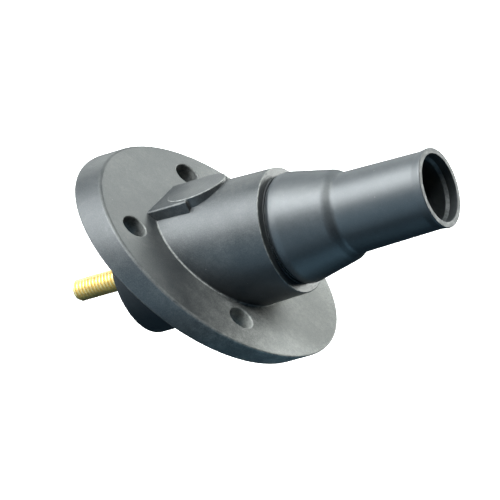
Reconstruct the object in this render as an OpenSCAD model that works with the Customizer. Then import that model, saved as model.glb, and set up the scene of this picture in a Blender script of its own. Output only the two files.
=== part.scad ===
// Single pole cam lock connector for an angled panel mount.
// The panel's face is the plane z = 0, the barrel leans towards +X, and lengths
// along the barrel are measured from the point where its axis crosses the middle of the flange.

/* [Flange] */
// Angle between the barrel and the panel's normal, in degrees
lean = 30; // [20:1:36]
// Diameter of the flange's rim, measured square to the barrel
flange_d = 103; // [98:0.5:120]
// Thickness of the flange, square to the panel
flange_t = 11.5; // [9:0.5:15]
// Distance between mounting holes, the same both ways
hole_spacing = 57.15; // [54:0.05:62]
// Diameter of a mounting hole
hole_d = 10.8; // [8:0.1:12]

/* [Barrel] */
// Length of the barrel along its axis
barrel_l = 41.2; // [36:0.1:60]
// Diameter of the barrel where its axis crosses the middle of the flange
barrel_base_d = 55.8; // [54:0.1:60]
// Diameter of the barrel at its open end
barrel_end_d = 53; // [50:0.1:54]
// Radius on the barrel's outer edge
barrel_edge_r = 1.6; // [0.5:0.1:2.5]

/* [Pad] */
// Diameter of the flat round pad on the barrel
pad_d = 26; // [20:0.5:30]
// Place of the pad's centre along the barrel
pad_at = 8.2; // [6:0.1:12]
// Height of the pad's flat top above the barrel's widest part
pad_rise = 0.7; // [0.5:0.05:2]
// Width of the shoulder block under the pad
block_w = 30; // [28:0.5:36]
// Height of the shoulder block's top above the barrel's widest part
block_rise = 0.15; // [0.1:0.05:0.4]
// Place of the shoulder block's end along the barrel
block_end = 9; // [7:0.1:14]
// Radius on the shoulder block's long edges
block_edge_r = 1.2; // [0.4:0.1:2]

/* [Rear boss] */
// Diameter of the boss behind the flange
boss_d = 52; // [46:0.5:54]
// Length of the boss along its axis
boss_l = 31.7; // [28:0.1:45]
// Radius on the boss's rear edge
boss_edge_r = 2; // [0.5:0.1:3]
// Diameter of the pocket for the snap ring
pocket_d = 31; // [29:0.5:36]
// Depth of the pocket for the snap ring
pocket_depth = 5; // [4:0.1:7]

/* [Nose sleeve] */
// Diameter of the sleeve's root inside the barrel
root_d = 41.2; // [39:0.1:43]
// Length of the sleeve's root inside the barrel
root_l = 23; // [16:0.5:23.5]
// Largest diameter of the sleeve, just outside the barrel
bulge_d = 46; // [44:0.1:48]
// Radius of the sleeve's rounded foot
bulge_r = 4; // [3:0.1:5]
// Length from the barrel's end to the sleeve's step
taper_l = 25.4; // [18:0.1:30]
// Diameter of the sleeve at the top of its step
taper_end_d = 38; // [36:0.1:40]
// Length of the step
step_l = 3.6; // [2:0.1:5]
// Diameter of the nose at the foot of the step
nose_base_d = 34.2; // [33:0.1:35]
// Diameter of the nose just behind its lip
nose_end_d = 32.9; // [32:0.1:33]
// Length from the barrel's end to the mouth
nose_l = 69.6; // [60:0.1:85]
// Diameter of the rolled lip at the mouth
lip_d = 33.8; // [33.4:0.1:35]
// Width of the rolled lip
lip_l = 2.6; // [1.8:0.1:4]
// Diameter of the mouth in front of its ledge
mouth_d = 28.5; // [28:0.1:30]
// Chamfer at the mouth's inner edge
mouth_chamfer = 0.5; // [0.2:0.1:0.8]
// Depth of the ledge inside the mouth
ledge_depth = 3.8; // [2.5:0.1:6]
// Diameter of the bore behind the ledge
throat_d = 26.6; // [26.2:0.1:27.4]

/* [Socket contact] */
// Outside diameter of the contact
contact_d = 25.4; // [23:0.1:25.8]
// Depth of the contact's face below the mouth
contact_recess = 20; // [16:0.5:30]
// Diameter of the socket's front land, which guides the mating pin
socket_d = 16; // [13:0.1:17]
// Length of the socket's front land
land_l = 9; // [5:0.5:12]
// Depth of the whole socket
socket_depth = 45; // [35:1:50]
// Extra diameter of the socket behind its front land
socket_relief = 0.6; // [0.2:0.1:1]
// Chamfer at the socket's entry
socket_chamfer = 1; // [0.5:0.1:1.5]
// Diameter of the collar clamped under the sleeve
collar_d = 34; // [30:0.5:38]
// Thickness of the collar
collar_t = 5; // [3:0.1:6]
// Diameter of the shank that runs back through the boss
shank_d = 22; // [19:0.1:24]

/* [Cam pin] */
// Diameter of the cam pin
pin_d = 4.8; // [3:0.1:5.5]
// How far the cam pin's outer end lies below the contact's surface
pin_sink = 0.5; // [0.2:0.1:1]
// How far the cam pin stands into the socket
pin_reach = 3.5; // [2:0.1:5]
// Distance from the front land's back edge to the cam pin's centre
pin_setback = 3; // [3:0.1:6]

/* [Line stud] */
// Major diameter of the stud's thread
stud_d = 9.525; // [6:0.005:12.7]
// Length of the stud outside the boss
stud_out = 32.3; // [20:0.1:45]
// Length of the stud inside the contact
stud_in = 15; // [10:0.5:24]
// Chamfer on the stud's ends
stud_chamfer = 1.2; // [0.5:0.1:2]
// Depth of the plain neck where the stud's thread ends at the contact
neck_depth = 0.8; // [0.4:0.1:1.2]
// Length of the plain neck outside the contact
neck_l = 1.5; // [1:0.1:3]

/* [Retaining ring] */
// Outside diameter of the snap ring
ring_d = 28; // [26:0.1:28.8]
// Thickness of the snap ring
ring_t = 1.6; // [1:0.1:2.5]
// Depth of the snap ring's groove in the shank
groove_depth = 1.2; // [0.6:0.1:1.8]
// Width of the snap ring's gap
ring_gap = 7; // [4:0.5:10]
// Shank left behind the snap ring
shank_tail = 1.6; // [1:0.1:2.2]

/* [Fits] */
// Radial clearance between the sleeve's root and the barrel
root_clearance = 0.1; // [0.02:0.01:0.3]
// Radial clearance round the contact
contact_clearance = 0.15; // [0.02:0.01:0.3]
// Radial clearance round the cam pin
pin_clearance = 0.02; // [0.01:0.01:0.1]
// Radial clearance round the stud in its threaded hole
stud_clearance = 0.05; // [0.02:0.01:0.1]
// Clearance between the snap ring and its groove
ring_clearance = 0.05; // [0.02:0.01:0.15]

/* [Hidden] */
$fn = 96;

// Places along the barrel's axis
seat_at = barrel_l - root_l - collar_t;
mouth_at = barrel_l + nose_l;
face_at = mouth_at - contact_recess;
land_back = face_at - land_l;
socket_floor = face_at - socket_depth;
pin_at = land_back - pin_setback;
pocket_floor = -boss_l + pocket_depth;
ring_back = pocket_floor - ring_t;
shank_back = ring_back - shank_tail;
stud_tip = -boss_l - stud_out;
stud_head = shank_back + stud_in;

// Radii that more than one piece uses
barrel_base_r = barrel_base_d / 2;
contact_r = contact_d / 2;
socket_r = socket_d / 2;
relief_r = (socket_d + socket_relief) / 2;
shank_r = shank_d / 2;
groove_r = shank_r - groove_depth;
stud_r = stud_d / 2;
pin_r = pin_d / 2;

// Room that a cut runs past the face it opens
overrun = 1;
// Depth of the gap under the stud, where the threaded hole ends in a drill point
drill_gap = 0.5;
// Half of a box that takes in everything on one side of the flange's middle
side = flange_d + mouth_at;
// Steps in a rounded edge
arc_steps = 6;

black = [0.13, 0.14, 0.14];
rubber = [0.10, 0.11, 0.12];
brass = [0.80, 0.62, 0.26];
steel = [0.62, 0.63, 0.65];

// Points of a round edge about a centre, from one angle to another, as [radius, place along the axis]
function arc(centre, r, from, to) =
    [for (i = [0 : arc_steps])
        let (turn = from + (to - from) * i / arc_steps)
        [centre[0] + r * cos(turn), centre[1] + r * sin(turn)]];

// Sets its child on the barrel's axis, with +Z out of the mouth
module on_axis() {
    translate([0, 0, flange_t / 2]) rotate([0, lean, 0]) children();
}

// Keeps the part of its child on one side of the flange's middle plane
module front_side() {
    intersection() {
        children();
        translate([-side, -side, flange_t / 2]) cube([2 * side, 2 * side, side]);
    }
}

module back_side() {
    intersection() {
        children();
        translate([-side, -side, flange_t / 2 - side]) cube([2 * side, 2 * side, side]);
    }
}

// Rim of the flange: a round bar along the barrel's axis, cut by the flange's two faces
module flange_plate() {
    intersection() {
        on_axis() cylinder(d = flange_d, h = 2 * side, center = true);
        translate([-side, -side, 0]) cube([2 * side, 2 * side, flange_t]);
    }
}

module barrel() {
    foot_at = -flange_d / 2;
    edge = [barrel_end_d / 2 - barrel_edge_r, barrel_l - barrel_edge_r];
    front_side() on_axis() rotate_extrude()
        polygon(concat([[0, foot_at], [barrel_base_r, foot_at], [barrel_base_r, 0]],
                       arc(edge, barrel_edge_r, 0, 90), [[0, barrel_l]]));
}

module boss() {
    boss_r = boss_d / 2;
    edge = [boss_r - boss_edge_r, -boss_l + boss_edge_r];
    back_side() on_axis() rotate_extrude()
        polygon(concat([[0, -boss_l]], arc(edge, boss_edge_r, -90, 0),
                       [[boss_r, flange_d / 2], [0, flange_d / 2]]));
}

// Section of the shoulder block, square to the barrel, with its two upper edges rounded
module block_section() {
    half = block_w / 2;
    top = barrel_base_r + block_rise;
    square_top = top - block_edge_r;
    translate([0, -half]) square([square_top, block_w]);
    translate([0, block_edge_r - half]) square([top, block_w - 2 * block_edge_r]);
    for (hand = [-1, 1])
        translate([square_top, hand * (half - block_edge_r)]) circle(r = block_edge_r);
}

// Round pad and its shoulder block, on the side of the barrel that leans away from the panel
module pad() {
    front_side() on_axis() {
        translate([0, 0, block_end - flange_d]) linear_extrude(flange_d)
            rotate(180) block_section();
        translate([0, 0, pad_at]) rotate([0, -90, 0]) cylinder(d = pad_d, h = barrel_base_r + pad_rise);
    }
}

module flange_body() {
    recess_r = root_d / 2 + root_clearance;
    color(black) difference() {
        union() {
            flange_plate();
            barrel();
            pad();
            boss();
        }
        for (x = [-1, 1], y = [-1, 1])
            translate([x * hole_spacing / 2, y * hole_spacing / 2, -overrun])
                cylinder(d = hole_d, h = flange_t + 2 * overrun);
        on_axis() {
            translate([0, 0, seat_at]) cylinder(r = recess_r, h = barrel_l - seat_at + overrun);
            translate([0, 0, -boss_l - overrun])
                cylinder(r = shank_r + contact_clearance, h = boss_l + seat_at + 2 * overrun);
            translate([0, 0, -boss_l - overrun]) cylinder(d = pocket_d, h = pocket_depth + overrun);
        }
    }
}

module nose_sleeve() {
    root_r = root_d / 2;
    bulge_centre_r = bulge_d / 2 - bulge_r;
    foot_turn = -acos((root_r - bulge_centre_r) / bulge_r);
    bulge_centre = [bulge_centre_r, barrel_l - bulge_r * sin(foot_turn)];
    bulge_end_turn = 10;
    step_at = barrel_l + taper_l;
    lip_r = lip_l / 2;
    lip_centre = [lip_d / 2 - lip_r, mouth_at - lip_r];
    lip_turn = -acos((nose_end_d / 2 - lip_centre[0]) / lip_r);
    inner_r = contact_r + contact_clearance;
    color(rubber) on_axis() rotate_extrude()
        polygon(concat(
            [[inner_r, seat_at + collar_t], [root_r, seat_at + collar_t]],
            arc(bulge_centre, bulge_r, foot_turn, bulge_end_turn),
            [[taper_end_d / 2, step_at], [nose_base_d / 2, step_at + step_l]],
            arc(lip_centre, lip_r, lip_turn, 90),
            [[mouth_d / 2 + mouth_chamfer, mouth_at], [mouth_d / 2, mouth_at - mouth_chamfer],
             [mouth_d / 2, mouth_at - ledge_depth], [throat_d / 2, mouth_at - ledge_depth],
             [throat_d / 2, face_at], [inner_r, face_at]]));
}

module socket_contact() {
    stud_hole_r = stud_r + stud_clearance;
    stud_hole_floor = stud_head + drill_gap;
    color(brass) on_axis() difference() {
        rotate_extrude()
            polygon([[0, shank_back], [shank_r, shank_back],
                     [shank_r, ring_back - ring_clearance], [groove_r, ring_back - ring_clearance],
                     [groove_r, pocket_floor + ring_clearance], [shank_r, pocket_floor + ring_clearance],
                     [shank_r, seat_at], [collar_d / 2, seat_at],
                     [collar_d / 2, seat_at + collar_t], [contact_r, seat_at + collar_t],
                     [contact_r, face_at], [0, face_at]]);
        translate([0, 0, land_back - overrun]) cylinder(r = socket_r, h = land_l + 2 * overrun);
        translate([0, 0, socket_floor]) cylinder(r = relief_r, h = socket_depth - land_l);
        translate([0, 0, face_at - socket_chamfer])
            cylinder(r1 = socket_r, r2 = socket_r + socket_chamfer + overrun, h = socket_chamfer + overrun);
        translate([0, 0, shank_back - overrun])
            cylinder(r = stud_hole_r, h = stud_hole_floor - shank_back + overrun);
        translate([0, 0, pin_at]) rotate([-90, 0, 0]) cylinder(r = pin_r + pin_clearance, h = contact_d);
    }
}

module cam_pin() {
    outer_end = contact_r - pin_sink;
    inner_end = socket_r - pin_reach;
    color(steel) on_axis()
        translate([0, inner_end, pin_at]) rotate([-90, 0, 0]) cylinder(r = pin_r, h = outer_end - inner_end);
}

module line_stud() {
    neck_r = stud_r - neck_depth;
    color(brass) on_axis() rotate_extrude()
        polygon([[0, stud_tip], [stud_r - stud_chamfer, stud_tip], [stud_r, stud_tip + stud_chamfer],
                 [stud_r, shank_back - neck_l], [neck_r, shank_back - neck_l + neck_depth],
                 [neck_r, shank_back], [stud_r, shank_back + neck_depth],
                 [stud_r, stud_head - stud_chamfer], [stud_r - stud_chamfer, stud_head], [0, stud_head]]);
}

module retaining_ring() {
    ring_inner_r = groove_r + ring_clearance;
    color(steel) on_axis() translate([0, 0, ring_back]) difference() {
        cylinder(d = ring_d, h = ring_t);
        translate([0, 0, -overrun]) cylinder(r = ring_inner_r, h = ring_t + 2 * overrun);
        translate([0, -ring_gap / 2, -overrun]) cube([ring_d, ring_gap, ring_t + 2 * overrun]);
    }
}

flange_body();
nose_sleeve();
socket_contact();
cam_pin();
line_stud();
retaining_ring();
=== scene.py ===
import math
import bpy
import bmesh
from mathutils import Matrix, Vector


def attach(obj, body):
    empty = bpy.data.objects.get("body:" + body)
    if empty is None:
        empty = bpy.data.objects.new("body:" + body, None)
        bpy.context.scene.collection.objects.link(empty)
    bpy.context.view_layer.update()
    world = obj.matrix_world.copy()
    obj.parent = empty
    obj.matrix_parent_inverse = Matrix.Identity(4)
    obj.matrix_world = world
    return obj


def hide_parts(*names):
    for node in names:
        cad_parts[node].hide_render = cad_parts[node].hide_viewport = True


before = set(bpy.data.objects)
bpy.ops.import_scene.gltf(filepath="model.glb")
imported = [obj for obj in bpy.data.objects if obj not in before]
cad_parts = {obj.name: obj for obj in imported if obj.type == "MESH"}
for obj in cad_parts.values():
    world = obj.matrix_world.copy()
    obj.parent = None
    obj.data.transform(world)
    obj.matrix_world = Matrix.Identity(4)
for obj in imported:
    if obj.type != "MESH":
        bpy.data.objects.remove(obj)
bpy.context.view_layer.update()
scene = bpy.context.scene

# lengths are in mm until a piece is finished, and places along the barrel
# start where its axis crosses the middle of the flange
layout = {
    "lean": 30.0,        # degrees between the barrel and the panel's normal
    "flangeT": 11.5,     # flange thickness
    "turnSteps": 192,    # facets round a large turned shape
    "arcSteps": 6,       # facets on a rounded corner of a profile
    "weld": 0.0005,      # points nearer than this are merged
    "near": 0.001,       # how far off a plane a point may lie and still count as on it
    "cutNear": 0.0001,   # the same where a plane cuts a shape
    "sharpAngle": 34.0,  # edges sharper than this stay crisp
    "faceLead": 60,      # how strongly large faces lead the shading at edges
}
axisStart = Vector((0, 0, layout["flangeT"] / 2))
onAxis = Matrix.Translation(axisStart) @ Matrix.Rotation(math.radians(layout["lean"]), 4, "Y")
toMetres = Matrix.Scale(0.001, 4)
barrelAxis = onAxis.to_3x3() @ Vector((0, 0, 1))


# camera

cameraFit = {
    "lens": 367.67, "sensor": 36.0,                               # mm
    "azimuth": -87.9394, "elevation": 31.8802, "roll": 39.5804,   # degrees
    "target": (0.0, 0.0, 0.011456),
    "offset": (0.014748, -0.002019, 2.0988),   # right, up and back from the target
    "farClip": 20.0,
}


def placeCamera(fit):
    turn = (Matrix.Rotation(math.radians(90 + fit["azimuth"]), 3, "Z")
            @ Matrix.Rotation(math.radians(90 - fit["elevation"]), 3, "X")
            @ Matrix.Rotation(math.radians(fit["roll"]), 3, "Z"))
    spot = Vector(fit["target"]) + turn @ Vector(fit["offset"])
    lens = bpy.data.cameras.new("photoCamera")
    lens.sensor_width = fit["sensor"]
    lens.lens = fit["lens"]
    lens.clip_end = fit["farClip"]
    camera = bpy.data.objects.new("photoCamera", lens)
    camera.matrix_world = Matrix.Translation(spot) @ turn.to_4x4()
    scene.collection.objects.link(camera)
    scene.camera = camera
    return turn


cameraTurn = placeCamera(cameraFit)
print("camera set")


# modelling helpers

def drawProfile(bm, corners, closed=False):
    # corners are (radius, place, rounding), in the half plane y = 0
    verts = [bm.verts.new((r, 0, s)) for r, s, rounding in corners]
    ends = verts[1:] + verts[:1] if closed else verts[1:]
    for a, b in zip(verts, ends):
        bm.edges.new((a, b))
    places = [v.co.copy() for v in verts]
    count = len(corners)
    for i, (r, s, rounding) in enumerate(corners):
        if rounding:
            into = (places[i] - places[i - 1]).normalized()
            out = (places[(i + 1) % count] - places[i]).normalized()
            reach = rounding * math.tan(into.angle(out) / 2)
            bmesh.ops.bevel(bm, geom=[verts[i]], offset=reach, offset_type="ABSOLUTE",
                            segments=layout["arcSteps"], profile=0.5, affect="VERTICES", material=-1)


def turnedShape(corners, closed=False, steps=layout["turnSteps"]):
    bm = bmesh.new()
    drawProfile(bm, corners, closed)
    bmesh.ops.spin(bm, geom=bm.verts[:] + bm.edges[:], cent=(0, 0, 0), axis=(0, 0, 1),
                   angle=2 * math.pi, steps=steps, use_merge=True)
    bmesh.ops.remove_doubles(bm, verts=bm.verts, dist=layout["weld"])
    bmesh.ops.recalc_face_normals(bm, faces=bm.faces)
    return bm


def moveAll(bm, matrix):
    bmesh.ops.transform(bm, matrix=matrix, verts=bm.verts)


def cutAway(bm, height, above):
    # removes what lies above the plane z = height, or else what lies below it
    bmesh.ops.bisect_plane(bm, geom=bm.verts[:] + bm.edges[:] + bm.faces[:], dist=layout["cutNear"],
                           plane_co=(0, 0, height), plane_no=(0, 0, 1),
                           clear_outer=above, clear_inner=not above)


def openEdges(bm, height):
    # edges with a face on one side only, in the plane z = height
    return [e for e in bm.edges if e.is_boundary
            and all(abs(v.co.z - height) < layout["near"] for v in e.verts)]


def roundEdges(bm, edges, reach, segments=4):
    bmesh.ops.bevel(bm, geom=edges, offset=reach, offset_type="OFFSET", segments=segments,
                    profile=0.5, affect="EDGES", material=-1)


def pourInto(bm, part):
    # adds a part's skin to bm and frees the part
    mesh = bpy.data.meshes.new("skin")
    part.to_mesh(mesh)
    part.free()
    bm.from_mesh(mesh)
    bpy.data.meshes.remove(mesh)


def axisPlace(point):
    return (point - axisStart).dot(barrelAxis)


def axisRadius(point):
    reach = point - axisStart
    return (reach - barrelAxis * reach.dot(barrelAxis)).length


def looseObject(name, bm):
    mesh = bpy.data.meshes.new(name)
    bm.to_mesh(mesh)
    bm.free()
    made = bpy.data.objects.new(name, mesh)
    scene.collection.objects.link(made)
    return made


def joinShapes(base, tools, operation):
    # applies one exact boolean per tool and throws the tools away
    for tool in tools:
        step = base.modifiers.new(operation, "BOOLEAN")
        step.operation = operation
        step.solver = "EXACT"
        step.object = tool
        bpy.context.view_layer.update()
        shaped = bpy.data.meshes.new_from_object(
            base.evaluated_get(bpy.context.evaluated_depsgraph_get()))
        base.modifiers.clear()
        old = base.data
        base.data = shaped
        bpy.data.meshes.remove(old)
        bpy.data.objects.remove(tool)
    return base


def markEdges(mesh, rings, low=0.12, high=0.75):
    # bend of the surface at each point in 1/mm: edges wear pale and tight corners hold dust, which also
    # paint thin highlights along edges and along the barrel's base fillet
    bm = bmesh.new()
    bm.from_mesh(mesh)
    marks = {name: bm.verts.layers.float.new(name) for name in ("edgeWearAndHighlight", "cornerDustAndHighlight")}
    for v in bm.verts:
        area = sum(f.calc_area() for f in v.link_faces) / 3
        turn = sum(e.calc_face_angle_signed(0) * e.calc_length() for e in v.link_edges)
        bend = turn / (4 * area + 1e-6)
        for mark, amount in (("edgeWearAndHighlight", bend), ("cornerDustAndHighlight", -bend)):
            v[marks[mark]] = min(1, max(0, (amount - low) / (high - low)))
        for mark, start, end, reach in rings:
            if start < axisPlace(v.co) < end and axisRadius(v.co) < reach:
                v[marks[mark]] = 1
    bm.to_mesh(mesh)
    bm.free()


def finishPiece(piece, node, material, rings=()):
    # rings are worn, dusty or painted with a highlight all round: the mark, from and to along the axis,
    # the radius within
    markEdges(piece.data, rings)
    piece.data.transform(toMetres)
    piece.data.shade_smooth()
    piece.data.set_sharp_from_angle(angle=math.radians(layout["sharpAngle"]))
    piece.data.materials.clear()
    piece.data.materials.append(material)
    even = piece.modifiers.new("evenFaces", "WEIGHTED_NORMAL")
    even.keep_sharp = True
    even.weight = layout["faceLead"]
    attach(piece, "root")
    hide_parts(node)
    print("finished", piece.name, len(piece.data.polygons), "faces")


# finishes

def addNode(tree, kind, **values):
    # values are settings of the node itself, or socket defaults by name with _ for a blank
    node = tree.nodes.new(kind)
    for name, value in values.items():
        if hasattr(node, name):
            setattr(node, name, value)
        else:
            node.inputs[name.replace("_", " ").title()].default_value = value
    return node


def feed(tree, socket, value):
    # value is another node's output, or a plain number or colour
    if isinstance(value, bpy.types.NodeSocket):
        tree.links.new(value, socket)
    else:
        socket.default_value = value


def newGroup(name, inputs, outputs):
    tree = bpy.data.node_groups.new(name, "ShaderNodeTree")
    for label, value in inputs:
        socket = tree.interface.new_socket(label, in_out="INPUT", socket_type="NodeSocketFloat")
        socket.default_value = value
    for label in outputs:
        tree.interface.new_socket(label, in_out="OUTPUT", socket_type="NodeSocketFloat")
    return tree, tree.nodes.new("NodeGroupInput").outputs, tree.nodes.new("NodeGroupOutput").inputs


def objectNoise(tree, scale, detail, roughness):
    # scale is in features a metre
    coords = tree.nodes.new("ShaderNodeTexCoord")
    noise = addNode(tree, "ShaderNodeTexNoise", detail=detail, roughness=roughness)
    tree.links.new(coords.outputs["Object"], noise.inputs["Vector"])
    feed(tree, noise.inputs["Scale"], scale)
    return noise.outputs["Fac"]


def mathNode(tree, operation, first, second, clamp=False):
    node = addNode(tree, "ShaderNodeMath", operation=operation, use_clamp=clamp)
    feed(tree, node.inputs[0], first)
    feed(tree, node.inputs[1], second)
    return node.outputs[0]


def addShare(tree, base, value, share, clamp=False):
    # base and a share of value
    return mathNode(tree, "ADD", base, mathNode(tree, "MULTIPLY", value, share), clamp)


def spread(tree, value, low, high, to=(0.0, 1.0)):
    # carries the range from low to high smoothly over to another range
    node = addNode(tree, "ShaderNodeMapRange", interpolation_type="SMOOTHSTEP",
                   from_min=low, from_max=high, to_min=to[0], to_max=to[1])
    tree.links.new(value, node.inputs["Value"])
    return node.outputs[0]


def reachAlong(tree, direction):
    # how far each point lies along a direction, in m
    coords = tree.nodes.new("ShaderNodeTexCoord")
    reach = addNode(tree, "ShaderNodeVectorMath", operation="DOT_PRODUCT")
    reach.inputs[1].default_value = direction
    tree.links.new(coords.outputs["Object"], reach.inputs[0])
    return reach.outputs["Value"]


def buildMouldGrain():
    # fine pitting of the mould's surface over a slow ripple, and the shade that goes with it
    tree, given, put = newGroup("mouldGrain", [("Grain", 1500), ("Ripple", 130)], ["Height", "Tone"])
    rippleShare = 0.9
    fine = objectNoise(tree, given["Grain"], detail=3, roughness=0.6)
    slow = objectNoise(tree, given["Ripple"], detail=2, roughness=0.5)
    tree.links.new(addShare(tree, fine, slow, rippleShare), put["Height"])
    tree.links.new(spread(tree, fine, low=0.36, high=0.72), put["Tone"])
    return tree


def buildChalkBloom():
    # pale mottled film that old moulded rubber and plastic carry, and tarnish on metal
    tree, given, put = newGroup("chalkBloom", [("Patch", 60), ("Speckle", 700)], ["Mask"])
    patch = spread(tree, objectNoise(tree, given["Patch"], detail=6, roughness=0.66), low=0.36, high=0.70)
    speckle = spread(tree, objectNoise(tree, given["Speckle"], detail=4, roughness=0.7),
                     low=0.32, high=0.70, to=(0.3, 1.0))
    tree.links.new(mathNode(tree, "MULTIPLY", patch, speckle), put["Mask"])
    return tree


def buildEdgeChalkAndHighlight():
    # rubbed edges and dusty corners, with the painted highlights they carry on edges and fillets, broken
    # up so that neither runs as an even line
    tree, given, put = newGroup("edgeChalkAndHighlight", [("Break", 420)], ["WearAndHighlight", "DustAndHighlight"])
    broken = spread(tree, objectNoise(tree, given["Break"], detail=4, roughness=0.65),
                    low=0.36, high=0.62, to=(0.3, 1.0))
    for mark, output in (("edgeWearAndHighlight", "WearAndHighlight"), ("cornerDustAndHighlight", "DustAndHighlight")):
        read = addNode(tree, "ShaderNodeAttribute", attribute_name=mark)
        tree.links.new(mathNode(tree, "MULTIPLY", read.outputs["Fac"], broken), put[output])
    return tree


def buildDustSpecks():
    # a few pale specks, each a small soft dot
    tree, given, put = newGroup("dustSpecks", [("Scale", 420), ("Share", 0.12)], ["Mask"])
    coords = tree.nodes.new("ShaderNodeTexCoord")
    cells = addNode(tree, "ShaderNodeTexVoronoi")
    tree.links.new(coords.outputs["Object"], cells.inputs["Vector"])
    tree.links.new(given["Scale"], cells.inputs["Scale"])
    dot = spread(tree, cells.outputs["Distance"], low=0.02, high=0.14, to=(1.0, 0.0))
    split = tree.nodes.new("ShaderNodeSeparateColor")
    tree.links.new(cells.outputs["Color"], split.inputs[0])
    chosen = mathNode(tree, "LESS_THAN", split.outputs[0], given["Share"])
    strength = mathNode(tree, "MULTIPLY", chosen, split.outputs[1])
    tree.links.new(mathNode(tree, "MULTIPLY", dot, strength), put["Mask"])
    return tree


def buildTurnedLines():
    # fine tool lines that run round the barrel's axis
    tree, given, put = newGroup("turnedLines", [("Scale", 2600)], ["Height"])
    coords = tree.nodes.new("ShaderNodeTexCoord")
    along = addNode(tree, "ShaderNodeMapping", vector_type="TEXTURE")
    along.inputs["Rotation"].default_value = (0, math.radians(layout["lean"]), 0)
    along.inputs["Scale"].default_value = (30, 30, 1)   # drawn out across the axis
    noise = addNode(tree, "ShaderNodeTexNoise", detail=2, roughness=0.5)
    tree.links.new(coords.outputs["Object"], along.inputs["Vector"])
    tree.links.new(along.outputs[0], noise.inputs["Vector"])
    tree.links.new(given["Scale"], noise.inputs["Scale"])
    tree.links.new(noise.outputs["Fac"], put["Height"])
    return tree


mouldGrain, chalkBloom, edgeChalkAndHighlight = buildMouldGrain(), buildChalkBloom(), buildEdgeChalkAndHighlight()
dustSpecks, turnedLines = buildDustSpecks(), buildTurnedLines()


def startMaterial(name, metallic=0.0):
    made = bpy.data.materials.new(name)
    made.use_nodes = True
    shader = made.node_tree.nodes["Principled BSDF"]
    shader.inputs["Metallic"].default_value = metallic
    return made, made.node_tree, shader


def useGroup(tree, group, **values):
    node = tree.nodes.new("ShaderNodeGroup")
    node.node_tree = group
    for name, value in values.items():
        node.inputs[name.title()].default_value = value
    return node.outputs


def mixColours(tree, share, first, second):
    node = addNode(tree, "ShaderNodeMix", data_type="RGBA")
    tree.links.new(share, node.inputs[0])
    for socket, colour in ((node.inputs[6], first), (node.inputs[7], second)):
        feed(tree, socket, (*colour, 1) if isinstance(colour, tuple) else colour)
    return node.outputs[2]


def bumpInto(tree, shader, height, strength, distance):
    bump = addNode(tree, "ShaderNodeBump", strength=strength, distance=distance)
    tree.links.new(height, bump.inputs["Height"])
    tree.links.new(bump.outputs[0], shader.inputs["Normal"])


mouldedFinish = {
    "charcoal": (0.018, 0.021, 0.024), "chalk": (0.38, 0.38, 0.358), "dust": (0.26, 0.26, 0.245),
    "patch": 48, "speckle": 520, "bloom": 0.11, "grit": 0.075, "specks": 0.05,
    "edgeWearAndHighlight": 0.42, "cornerDustAndHighlight": 0.75,
    "roughness": (0.38, 0.50), "gritRoughness": 0.08, "wearRoughness": 0.0, "specular": 0.5,
    "grain": 2100, "ripple": 110, "bump": 0.42, "bumpDepth": 0.00015,
}
rubberFinish = {
    "charcoal": (0.019, 0.023, 0.027), "chalk": (0.235, 0.25, 0.255), "dust": (0.24, 0.24, 0.23),
    "patch": 36, "speckle": 460, "bloom": 0.11, "grit": 0.06, "specks": 0.04,
    "edgeWearAndHighlight": 0.05, "cornerDustAndHighlight": 0.6,
    "roughness": (0.44, 0.54), "gritRoughness": 0.06, "wearRoughness": 0.16, "specular": 0.82,
    "grain": 2400, "ripple": 75, "bump": 0.25, "bumpDepth": 0.0001,
}
# chalk on the moulding, with painted light on one side of the flange and painted shade under the barrel
# and behind the panel
bodyWeatherLightAndShade = {
    # the flange, up to this height, is paler towards one side, between these reaches, in m: chalk
    # mottling and painted light where the side lamps reach
    "flangeTop": 0.0125, "sideTowards": (0.90, 0.43, 0), "sideFrom": -0.020, "sideTo": 0.040,
    "sideChalkAndLight": 0.80, "sideMask": 0.9, "sideMottle": (0.36, 0.86), "sideGrain": 0.4,
    # above the flange the film thins out round to the barrel's underside, painted shade that darkens it
    "barrelUp": (-0.834, 0.270, 0.481), "shadeFrom": -0.020, "shadeTo": 0.014, "shadeFilmLeft": 0.2,
    # behind the panel's face the moulding is matt, and its film is taken off, painted shade that darkens
    # the boss
    "panelFace": 0.0, "backPaintedShade": 1.0, "backRoughness": 0.4,
}


# painted shade: the film thins towards the barrel's underside, darkening it
def paintShadeUnderneath(tree, weatherLightAndShade, film, onFlange):
    height = reachAlong(tree, weatherLightAndShade["barrelUp"])
    shadedShare = spread(tree, height, weatherLightAndShade["shadeFrom"], weatherLightAndShade["shadeTo"], (weatherLightAndShade["shadeFilmLeft"], 1.0))
    return mathNode(tree, "MULTIPLY", film, mathNode(tree, "MAXIMUM", onFlange, shadedShare))


# pales the flange towards one side: chalk mottling and painted light where the side lamps reach it
def chalkAndLightOneSide(tree, weatherLightAndShade, film, onFlange, mask, tone):
    reach = reachAlong(tree, weatherLightAndShade["sideTowards"])
    litSide = spread(tree, reach, weatherLightAndShade["sideFrom"], weatherLightAndShade["sideTo"])
    litSide = mathNode(tree, "MULTIPLY", litSide, onFlange)
    mottle = spread(tree, mask, 0.0, weatherLightAndShade["sideMask"], weatherLightAndShade["sideMottle"])
    mottle = addShare(tree, mottle, tone, weatherLightAndShade["sideGrain"])
    return addShare(tree, film, mathNode(tree, "MULTIPLY", litSide, mottle), weatherLightAndShade["sideChalkAndLight"], clamp=True)


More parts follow.
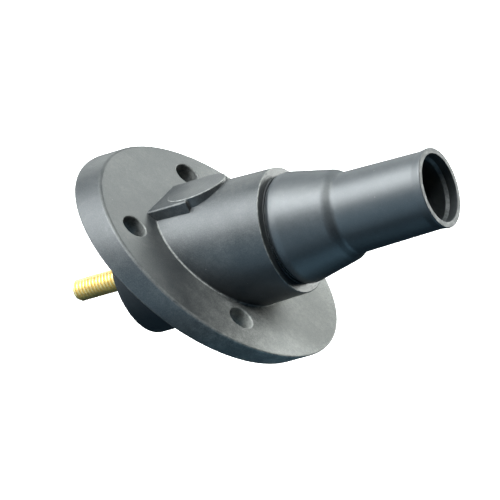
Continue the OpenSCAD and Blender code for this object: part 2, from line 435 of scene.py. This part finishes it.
def mouldedMaterial(name, finish, weatherLightAndShade=None):
    made, tree, shader = startMaterial(name)
    shader.inputs["Specular IOR Level"].default_value = finish["specular"]
    grain = useGroup(tree, mouldGrain, grain=finish["grain"], ripple=finish["ripple"])
    mask = useGroup(tree, chalkBloom, patch=finish["patch"], speckle=finish["speckle"])["Mask"]
    edges = useGroup(tree, edgeChalkAndHighlight)
    specks = useGroup(tree, dustSpecks, share=finish["specks"])["Mask"]
    if weatherLightAndShade:
        height = reachAlong(tree, (0, 0, 1))
        onFlange = mathNode(tree, "LESS_THAN", height, weatherLightAndShade["flangeTop"])
        behind = mathNode(tree, "LESS_THAN", height, weatherLightAndShade["panelFace"])

    # the film is how much pale chalk covers the charcoal, from 0 to 1; it also carries painted highlights
    # on edges and fillets, painted light on one side of the flange, and painted shade under the barrel
    # and behind the panel
    film = mathNode(tree, "MULTIPLY", mask, finish["bloom"])
    film = addShare(tree, film, grain["Tone"], finish["grit"])
    if weatherLightAndShade:
        # painted shade under the barrel
        film = paintShadeUnderneath(tree, weatherLightAndShade, film, onFlange)
    # pale rubbed edges and dusty corners, also painted highlights along edges and the barrel's base
    # fillet
    film = addShare(tree, film, edges["WearAndHighlight"], finish["edgeWearAndHighlight"], clamp=True)
    film = addShare(tree, film, edges["DustAndHighlight"], finish["cornerDustAndHighlight"], clamp=True)
    if weatherLightAndShade:
        # painted light: the flange is paler towards one side
        film = chalkAndLightOneSide(tree, weatherLightAndShade, film, onFlange, mask, grain["Tone"])
        # painted shade: no film behind the panel, which darkens the boss
        film = addShare(tree, film, behind, -weatherLightAndShade["backPaintedShade"], clamp=True)
    colour = mixColours(tree, film, finish["charcoal"], finish["chalk"])
    colour = mixColours(tree, specks, colour, finish["dust"])
    tree.links.new(colour, shader.inputs["Base Color"])

    rough = spread(tree, film, 0.0, 1.0, finish["roughness"])
    rough = addShare(tree, rough, grain["Tone"], finish["gritRoughness"])
    rough = addShare(tree, rough, edges["WearAndHighlight"], finish["wearRoughness"])
    if weatherLightAndShade:
        rough = addShare(tree, rough, behind, weatherLightAndShade["backRoughness"])
    tree.links.new(rough, shader.inputs["Roughness"])
    bumpInto(tree, shader, grain["Height"], finish["bump"], finish["bumpDepth"])
    return made


metalFinish = {
    "contactBrass": {"bright": (0.76, 0.56, 0.24), "dull": (0.55, 0.38, 0.14),
                     "roughness": (0.22, 0.38), "metallic": 1.0, "lines": 2600, "bump": 0.15},
    "studBrass": {"bright": (0.83, 0.64, 0.29), "dull": (0.66, 0.48, 0.17),
                  "roughness": (0.42, 0.56), "metallic": 0.72, "lines": 5200, "bump": 0.10},
    "groundSteel": {"bright": (0.60, 0.61, 0.63), "dull": (0.45, 0.46, 0.47),
                    "roughness": (0.22, 0.34), "metallic": 1.0, "lines": 3400, "bump": 0.12},
    "springSteel": {"bright": (0.34, 0.35, 0.37), "dull": (0.20, 0.20, 0.21),
                    "roughness": (0.30, 0.46), "metallic": 1.0, "lines": 1800, "bump": 0.10},
}
metalWear = {"patch": 170, "speckle": 1500, "lineDepth": 0.00004}   # the same on every metal


def metalMaterial(name):
    finish = metalFinish[name]
    made, tree, shader = startMaterial(name, finish["metallic"])
    tarnish = useGroup(tree, chalkBloom, patch=metalWear["patch"], speckle=metalWear["speckle"])["Mask"]
    colour = mixColours(tree, tarnish, finish["bright"], finish["dull"])
    tree.links.new(colour, shader.inputs["Base Color"])
    rough = spread(tree, tarnish, 0.0, 1.0, finish["roughness"])
    tree.links.new(rough, shader.inputs["Roughness"])
    lines = useGroup(tree, turnedLines, scale=finish["lines"])["Height"]
    bumpInto(tree, shader, lines, finish["bump"], metalWear["lineDepth"])
    return made


mouldedBody = mouldedMaterial("mouldedBody", mouldedFinish, bodyWeatherLightAndShade)
sleeveRubber = mouldedMaterial("sleeveRubber", rubberFinish)
contactBrass, studBrass = metalMaterial("contactBrass"), metalMaterial("studBrass")
groundSteel, springSteel = metalMaterial("groundSteel"), metalMaterial("springSteel")
print("finishes made")


# flange body

flangeForm = {
    "rimR": 51.5, "rimFront": 1.2, "rimBack": 1.2,
    "rimFrontSteps": 7, "rimBackSteps": 6, "footSteps": 4,
    "holeSpacing": 57.15, "holeR": 5.4, "holeSteps": 72, "holeDust": 0.4,
    "holeEdge": 0.14, "holeRound": 0.5, "flareAngle": 12.0, "flareOut": 1.5,
    "barrelFootR": 28.0, "barrelFootAt": -12.0, "barrelEndR": 26.5, "barrelL": 41.2,
    "barrelEdge": 0.5, "barrelFillet": 0.6,
    "recessR": 20.7, "recessEdge": 0.5, "seatAt": 13.2, "shankHoleR": 11.15,
    "bossR": 26.0, "bossL": 31.7, "bossEdge": 2.0, "bossFoot": 1.0,
    "pocketR": 15.5, "pocketDepth": 5.0, "pocketEdge": 0.5,
    "padR": 13.0, "padAt": 8.2, "padTop": 28.6, "padEdge": 0.5, "padSteps": 144,
    "blockW": 30.0, "blockTop": 28.05, "blockFoot": -14.0, "blockEnd": 9.0, "blockEdge": 0.8,
    "rootInside": 22.0,   # how near the axis the pad and block reach inside the barrel
}


def flangeShell(form):
    thick = layout["flangeT"]
    lip = (form["barrelEndR"] + form["recessR"]) / 2
    tail = (form["bossR"] + form["pocketR"]) / 2
    far = form["rimR"]
    pocketFloor = -form["bossL"] + form["pocketDepth"]
    bm = bmesh.new()

    rim = turnedShape([(form["rimR"], -far, 0), (form["rimR"], far, 0)])
    moveAll(rim, onAxis)
    cutAway(rim, thick, True)
    cutAway(rim, 0, False)
    pourInto(bm, rim)

    barrel = turnedShape([(form["barrelFootR"], form["barrelFootAt"], 0),
                          (form["barrelEndR"], form["barrelL"], form["barrelEdge"]),
                          (lip, form["barrelL"], 0)])
    moveAll(barrel, onAxis)
    cutAway(barrel, thick, False)
    pourInto(bm, barrel)

    boss = turnedShape([(form["bossR"], far, 0), (form["bossR"], -form["bossL"], form["bossEdge"]),
                        (tail, -form["bossL"], 0)])
    moveAll(boss, onAxis)
    cutAway(boss, 0, True)
    pourInto(bm, boss)

    inside = turnedShape([(lip, form["barrelL"], 0),
                          (form["recessR"], form["barrelL"], form["recessEdge"]),
                          (form["recessR"], form["seatAt"], 0), (form["shankHoleR"], form["seatAt"], 0),
                          (form["shankHoleR"], pocketFloor, 0), (form["pocketR"], pocketFloor, 0),
                          (form["pocketR"], -form["bossL"], form["pocketEdge"]),
                          (tail, -form["bossL"], 0)])
    moveAll(inside, onAxis)
    pourInto(bm, inside)

    # flat faces between the rim and the barrel, and between the rim and the boss
    bmesh.ops.remove_doubles(bm, verts=bm.verts, dist=layout["weld"])
    for height in (thick, 0):
        bmesh.ops.bridge_loops(bm, edges=openEdges(bm, height))
    bmesh.ops.recalc_face_normals(bm, faces=bm.faces)

    # each edge to round: its height, radius round the axis, rounding and facets
    slack = 1.2    # the barrel tapers, so its foot is a little off its radius
    for height, radius, reach, segments in (
            (thick, form["rimR"], form["rimFront"], form["rimFrontSteps"]),
            (0, form["rimR"], form["rimBack"], form["rimBackSteps"]),
            (thick, form["barrelFootR"], form["barrelFillet"], form["footSteps"]),
            (0, form["bossR"], form["bossFoot"], form["footSteps"])):
        loop = [e for e in bm.edges
                if all(abs(v.co.z - height) < layout["near"] and abs(axisRadius(v.co) - radius) < slack
                       for v in e.verts)]
        roundEdges(bm, loop, reach, segments)
    return looseObject("flangeBody", bm)


def boltHole(form, x, y):
    # the cutter flares a little at both faces, which rounds the hole's edges
    thick, r, soft = layout["flangeT"], form["holeR"], form["holeRound"]
    past = 1.0     # how far the cutter stands out of each face
    out = r + form["flareOut"]
    rise = form["flareOut"] * math.tan(math.radians(form["flareAngle"]))
    low, high = form["holeEdge"], thick - form["holeEdge"]
    bm = turnedShape([(0, -past, 0), (out, -past, 0), (out, low - rise, 0), (r, low, soft),
                      (r, high, soft), (out, high + rise, 0), (out, thick + past, 0),
                      (0, thick + past, 0)], steps=form["holeSteps"])
    moveAll(bm, Matrix.Translation((x, y, 0)))
    return looseObject("boltHole", bm)


def shoulderBlock(form):
    bm = bmesh.new()
    bmesh.ops.create_cube(bm, size=1)
    deep = form["blockTop"] - form["rootInside"]
    foot, end = form["blockFoot"], form["blockEnd"]
    bmesh.ops.scale(bm, vec=(deep, form["blockW"], end - foot), verts=bm.verts)
    bmesh.ops.translate(bm, vec=(-form["rootInside"] - deep / 2, 0, (end + foot) / 2), verts=bm.verts)
    upper = [e for e in bm.edges if all(v.co.x < layout["near"] - form["blockTop"] for v in e.verts)]
    roundEdges(bm, upper, form["blockEdge"])
    moveAll(bm, onAxis)
    return looseObject("shoulderBlock", bm)


def roundPad(form):
    bm = turnedShape([(0, form["rootInside"], 0), (form["padR"], form["rootInside"], 0),
                      (form["padR"], form["padTop"], form["padEdge"]), (0, form["padTop"], 0)],
                     steps=form["padSteps"])
    moveAll(bm, onAxis @ Matrix.Translation((0, 0, form["padAt"]))
            @ Matrix.Rotation(-math.pi / 2, 4, "Y"))
    return looseObject("roundPad", bm)


def dustHoles(piece, form, half):
    # the bolts have left the walls of the holes rough and pale
    slack = 0.02   # how far off the hole's radius its wall may lie
    for v, dust in zip(piece.data.vertices, piece.data.attributes["cornerDustAndHighlight"].data):
        x, y, z = v.co * 1000
        fromCentre = math.hypot(abs(x) - half, abs(y) - half)
        if z < layout["flangeT"] and fromCentre < form["holeR"] + slack:
            dust.value = form["holeDust"]


flangeBody = flangeShell(flangeForm)
joinShapes(flangeBody, [shoulderBlock(flangeForm), roundPad(flangeForm)], "UNION")
half = flangeForm["holeSpacing"] / 2
boltHoles = [boltHole(flangeForm, x * half, y * half) for x in (-1, 1) for y in (-1, 1)]
joinShapes(flangeBody, boltHoles, "DIFFERENCE")
finishPiece(flangeBody, "flange_body", mouldedBody)
dustHoles(flangeBody, flangeForm, half)


# nose sleeve

sleeveForm = {
    "boreR": 12.85, "rootR": 20.6, "rootAt": 18.2, "rootEdge": 0.6,
    "barrelL": flangeForm["barrelL"],
    "flashR": 22.85, "flashT": 0.42, "flashEdge": 0.16,     # thin moulding flash at the foot
    "footR": 21.6, "footEdge": 0.1, "shoulderR": 23.15, "shoulderAt": 43.2, "shoulderRound": 2.2,
    "bulgeR": 23.3, "bulgeAt": 46.4, "bulgeRound": 8.0,
    "stepTopR": 19.0, "stepTopAt": 66.8, "stepTopRound": 6.0,
    "stepFootR": 16.95, "stepFootAt": 69.9, "stepFootRound": 3.5,
    "neckR": 16.2, "neckAt": 107.0, "neckRound": 5.0,
    "lipR": 16.7, "lipAt": 110.2, "lipFaceR": 16.62, "lipRound": 0.3, "mouthAt": 111.0,
    "mouthR": 14.15, "mouthEdge": 0.3, "ledgeAt": 107.3, "ledgeL": 1.45, "ledgeEdge": 0.3,
    "throatR": 13.3, "faceAt": 90.8,
    "ledgeHighlightReach": (0.02, 0.06),   # how far the painted highlight runs past the ledge's back and front
}


def sleeveShell(form):
    mouth = form["mouthAt"]
    flashTop = form["barrelL"] + form["flashT"]
    bm = turnedShape([
        (form["boreR"], form["rootAt"], 0), (form["rootR"], form["rootAt"], form["rootEdge"]),
        (form["rootR"], form["barrelL"], 0), (form["flashR"], form["barrelL"], form["flashEdge"]),
        (form["flashR"], flashTop, form["flashEdge"]), (form["footR"], flashTop, form["footEdge"]),
        (form["shoulderR"], form["shoulderAt"], form["shoulderRound"]),
        (form["bulgeR"], form["bulgeAt"], form["bulgeRound"]),
        (form["stepTopR"], form["stepTopAt"], form["stepTopRound"]),
        (form["stepFootR"], form["stepFootAt"], form["stepFootRound"]),
        (form["neckR"], form["neckAt"], form["neckRound"]),
        (form["lipR"], form["lipAt"], form["lipRound"]),
        (form["lipFaceR"], mouth, form["lipRound"]),
        (form["mouthR"], mouth, form["mouthEdge"]),
        (form["mouthR"], form["ledgeAt"], form["ledgeEdge"]),
        (form["throatR"], form["ledgeAt"] - form["ledgeL"], form["ledgeEdge"]),
        (form["throatR"], form["faceAt"], 0), (form["boreR"], form["faceAt"], 0)], closed=True)
    moveAll(bm, onAxis)
    return looseObject("noseSleeve", bm)


def sleeveRings(form):
    # a painted highlight lies on the slanted ledge in the mouth, and the mouth's face is rubbed
    slack = 0.2
    pastBack, pastFront = form["ledgeHighlightReach"]
    ledgeBack = form["ledgeAt"] - form["ledgeL"]
    return [("cornerDustAndHighlight", ledgeBack - pastBack, form["ledgeAt"] + pastFront, form["mouthR"] + slack),
            ("edgeWearAndHighlight", form["mouthAt"] - slack, form["mouthAt"] + slack, form["lipR"] + slack)]


noseSleeve = sleeveShell(sleeveForm)
finishPiece(noseSleeve, "nose_sleeve", sleeveRubber, sleeveRings(sleeveForm))


# socket contact and its cam pin

contactForm = {
    "bodyR": 12.7, "faceAt": sleeveForm["faceAt"], "faceEdge": 0.4, "steps": 144,
    "socketR": 8.0, "socketEdge": 1.0, "entryEdge": 0.1,
    "landBack": 81.8, "reliefR": 8.3, "socketFloor": 45.8, "floorEdge": 0.5,
    "collarR": 17.0, "collarFront": sleeveForm["rootAt"], "collarBack": flangeForm["seatAt"],
    "collarEdge": 0.3,
    "shankR": 11.0, "shankBack": -29.9, "shankEdge": 0.4,
    "grooveR": 9.8, "grooveFront": -26.65, "grooveBack": -28.35, "grooveEdge": 0.1,
    "studHoleR": 4.8125, "studHoleFloor": -14.4, "studHoleEdge": 0.3, "drillTip": 2.4,
}
pinForm = {"r": 2.4, "inner": 4.5, "outer": 12.2, "at": 78.8, "edge": 0.4, "steps": 48,
           "clearance": 0.02, "cutPast": 2.0}   # its hole is wider, and is cut past the contact's wall


def contactShell(form):
    entry = form["socketR"] + form["socketEdge"]
    bm = turnedShape([
        (0, form["socketFloor"], 0), (form["reliefR"], form["socketFloor"], form["floorEdge"]),
        (form["reliefR"], form["landBack"], 0), (form["socketR"], form["landBack"], 0),
        (form["socketR"], form["faceAt"] - form["socketEdge"], 0),
        (entry, form["faceAt"], form["entryEdge"]),
        (form["bodyR"], form["faceAt"], form["faceEdge"]), (form["bodyR"], form["collarFront"], 0),
        (form["collarR"], form["collarFront"], form["collarEdge"]),
        (form["collarR"], form["collarBack"], form["collarEdge"]),
        (form["shankR"], form["collarBack"], 0),
        (form["shankR"], form["grooveFront"], form["grooveEdge"]),
        (form["grooveR"], form["grooveFront"], 0), (form["grooveR"], form["grooveBack"], 0),
        (form["shankR"], form["grooveBack"], form["grooveEdge"]),
        (form["shankR"], form["shankBack"], form["shankEdge"]),
        (form["studHoleR"], form["shankBack"], form["studHoleEdge"]),
        (form["studHoleR"], form["studHoleFloor"], 0),
        (0, form["studHoleFloor"] + form["drillTip"], 0)], steps=form["steps"])
    moveAll(bm, onAxis)
    return looseObject("socketContact", bm)


def pinBar(form, r, outer, edge=0):
    bm = bmesh.new()
    length = outer - form["inner"]
    bmesh.ops.create_cone(bm, cap_ends=True, segments=form["steps"], radius1=r, radius2=r, depth=length)
    if edge:
        ends = [e for e in bm.edges if abs(e.verts[0].co.z - e.verts[1].co.z) < layout["near"]]
        roundEdges(bm, ends, edge)
    moveAll(bm, onAxis @ Matrix.Translation((0, form["inner"] + length / 2, form["at"]))
            @ Matrix.Rotation(-math.pi / 2, 4, "X"))
    return looseObject("camPin", bm)


socketContact = contactShell(contactForm)
pinHole = pinBar(pinForm, pinForm["r"] + pinForm["clearance"], contactForm["bodyR"] + pinForm["cutPast"])
joinShapes(socketContact, [pinHole], "DIFFERENCE")
finishPiece(socketContact, "socket_contact", contactBrass)
camPin = pinBar(pinForm, pinForm["r"], pinForm["outer"], pinForm["edge"])
finishPiece(camPin, "cam_pin", groundSteel)


# line stud

studForm = {
    "majorR": 4.7625, "minorR": 3.82, "pitch": 1.5875, "turnFacets": 48, "weld": 0.001,
    "tip": -64.0, "head": -14.9, "chamfer": 1.2,
    "crest": 0.14,        # share of the pitch that is flat at the crest
    "root": 0.2,          # share of the pitch that is flat at the root
    "neckR": 3.9625, "neckFront": contactForm["shankBack"], "neckBack": -31.4, "runOut": 0.8,
}


def studShell(form):
    pitch, facets = form["pitch"], form["turnFacets"]
    spare, start = 2, 1.3     # turns: the thread begins below the tip and is cut off past both ends
    turns = math.ceil((form["head"] - form["tip"]) / pitch) + spare
    flank = (1 - form["crest"] - form["root"]) / 2
    bm = bmesh.new()
    ridge = [(form["minorR"], 0), (form["minorR"], form["root"]), (form["majorR"], form["root"] + flank),
             (form["majorR"], 1 - flank), (form["minorR"], 1)]
    verts = [bm.verts.new((r, 0, form["tip"] - pitch * (start - share))) for r, share in ridge]
    for a, b in zip(verts, verts[1:]):
        bm.edges.new((a, b))
    bmesh.ops.spin(bm, geom=bm.verts[:] + bm.edges[:], cent=(0, 0, 0), axis=(0, 0, 1),
                   dvec=(0, 0, pitch / facets), angle=2 * math.pi * turns, steps=facets * turns)
    bmesh.ops.remove_doubles(bm, verts=bm.verts, dist=form["weld"])
    for place, above in ((form["head"], True), (form["tip"], False)):
        cutAway(bm, place, above)
        bmesh.ops.edgeloop_fill(bm, edges=openEdges(bm, place))
    # both ends are turned down to a chamfer, and the thread runs out into a plain neck
    for v in bm.verts:
        r = math.hypot(v.co.x, v.co.y)
        fromEnd = min(v.co.z - form["tip"], form["head"] - v.co.z)
        most = form["majorR"] - form["chamfer"] * max(0, 1 - fromEnd / form["chamfer"])
        if form["neckBack"] < v.co.z < form["neckFront"] + form["runOut"]:
            most = min(most, form["neckR"])
        if r > most:
            v.co.x *= most / r
            v.co.y *= most / r
    bmesh.ops.recalc_face_normals(bm, faces=bm.faces)
    moveAll(bm, onAxis)
    return looseObject("lineStud", bm)


lineStud = studShell(studForm)
finishPiece(lineStud, "line_stud", studBrass)


# retaining ring

ringForm = {"outerR": 14.0, "innerR": 9.85, "back": -28.3, "thick": 1.6, "edge": 0.25, "gap": 7.0,
            "steps": 120}


def ringShell(form):
    bm = bmesh.new()
    inner, outer, edge = form["innerR"], form["outerR"], form["edge"]
    back, front = form["back"], form["back"] + form["thick"]
    gapHalf = math.asin(form["gap"] / 2 / ((outer + inner) / 2))
    drawProfile(bm, [(inner, back, edge), (outer, back, edge),
                     (outer, front, edge), (inner, front, edge)], closed=True)
    bmesh.ops.rotate(bm, cent=(0, 0, 0), matrix=Matrix.Rotation(gapHalf, 3, "Z"), verts=bm.verts)
    start = bm.edges[:]
    bmesh.ops.edgeloop_fill(bm, edges=start)
    turned = bmesh.ops.spin(bm, geom=bm.verts[:] + start, cent=(0, 0, 0), axis=(0, 0, 1),
                            angle=2 * (math.pi - gapHalf), steps=form["steps"])
    end = [g for g in turned["geom_last"] if isinstance(g, bmesh.types.BMEdge)]
    bmesh.ops.edgeloop_fill(bm, edges=end)
    bmesh.ops.recalc_face_normals(bm, faces=bm.faces)
    moveAll(bm, onAxis)
    return looseObject("retainingRing", bm)


retainingRing = ringShell(ringForm)
finishPiece(retainingRing, "retaining_ring", springSteel)


# floor, backdrop and lights

stageForm = {
    "floorZ": -0.35, "floorSize": 6.0, "floorColour": (0.9, 0.9, 0.9), "floorRoughness": 0.8,
    "lightAim": (0.02, 0, 0.04), "lightDistance": 1.2,
    "skyColour": (0.014, 0.026, 0.038),
}


def layFloor(form):
    bm = bmesh.new()
    bmesh.ops.create_grid(bm, x_segments=1, y_segments=1, size=form["floorSize"] / 2)
    bmesh.ops.translate(bm, vec=(0, 0, form["floorZ"]), verts=bm.verts)
    floor = looseObject("studioFloor", bm)
    paint, tree, shader = startMaterial("studioFloor")
    shader.inputs["Base Color"].default_value = (*form["floorColour"], 1)
    shader.inputs["Roughness"].default_value = form["floorRoughness"]
    shader.inputs["Emission Color"].default_value = (1, 1, 1, 1)
    shader.inputs["Emission Strength"].default_value = 1.0
    floor.data.materials.append(paint)
    # the camera sees the floor, and the part isn't lit by it
    floor.visible_diffuse = False
    floor.visible_glossy = False


studioLights = {
    # name: direction as the camera sees it (right, up, towards it), width in m, watts, colour
    "key": ((-0.81, 0.53, 0.20), 1.15, 30.2, (0.92, 0.98, 1.0)),
    "frontHigh": ((-0.44, 0.64, 0.46), 0.7, 14.5, (0.92, 0.98, 1.0)),
    "frontLeft": ((-0.67, -0.46, 0.58), 1.3, 6.0, (0.50, 0.79, 1.0)),
    "topFront": ((0.15, 0.80, 0.55), 0.3, 4.8, (0.95, 1.0, 0.97)),
    "overhead": ((-0.22, 0.96, 0.17), 0.7, 7.8, (0.96, 1.0, 0.97)),
    "backHigh": ((-0.27, 0.58, -0.76), 0.8, 2.0, (0.96, 1.0, 0.97)),
    "flangeSheen": ((0.57, 0.68, -0.46), 1.0, 11.3, (0.94, 1.0, 0.97)),
    "sideGlint": ((0.80, 0.25, -0.55), 0.5, 7.6, (0.96, 1.0, 0.97)),
    "lowFill": ((0.28, -0.96, 0.10), 1.0, 4.0, (0.43, 0.76, 1.0)),
}


def lightWorld(colour):
    # the camera sees plain white, and the part is lit by a faint cool sky
    world = bpy.data.worlds.new("studioWorld")
    world.use_nodes = True
    nodes, links = world.node_tree.nodes, world.node_tree.links
    nodes.clear()
    out = nodes.new("ShaderNodeOutputWorld")
    seen = nodes.new("ShaderNodeBackground")
    seen.inputs["Color"].default_value = (1, 1, 1, 1)
    glow = nodes.new("ShaderNodeBackground")
    glow.inputs["Color"].default_value = (*colour, 1)
    path = nodes.new("ShaderNodeLightPath")
    pick = nodes.new("ShaderNodeMixShader")
    links.new(path.outputs["Is Camera Ray"], pick.inputs[0])
    links.new(glow.outputs[0], pick.inputs[1])
    links.new(seen.outputs[0], pick.inputs[2])
    links.new(pick.outputs[0], out.inputs[0])
    scene.world = world


def addSoftbox(name, direction, width, watts, colour):
    towards = cameraTurn @ Vector(direction)
    spot = Vector(stageForm["lightAim"]) + towards.normalized() * stageForm["lightDistance"]
    lamp = bpy.data.lights.new(name, "AREA")
    lamp.shape = "DISK"
    lamp.size = width
    lamp.energy = watts
    lamp.color = colour
    box = bpy.data.objects.new(name, lamp)
    box.matrix_world = (Matrix.Translation(spot)
                        @ towards.to_track_quat("Z", "Y").to_matrix().to_4x4())
    scene.collection.objects.link(box)


layFloor(stageForm)
lightWorld(stageForm["skyColour"])
for name, light in studioLights.items():
    addSoftbox(name, *light)
scene.view_settings.view_transform = "Standard"
print("lights set")
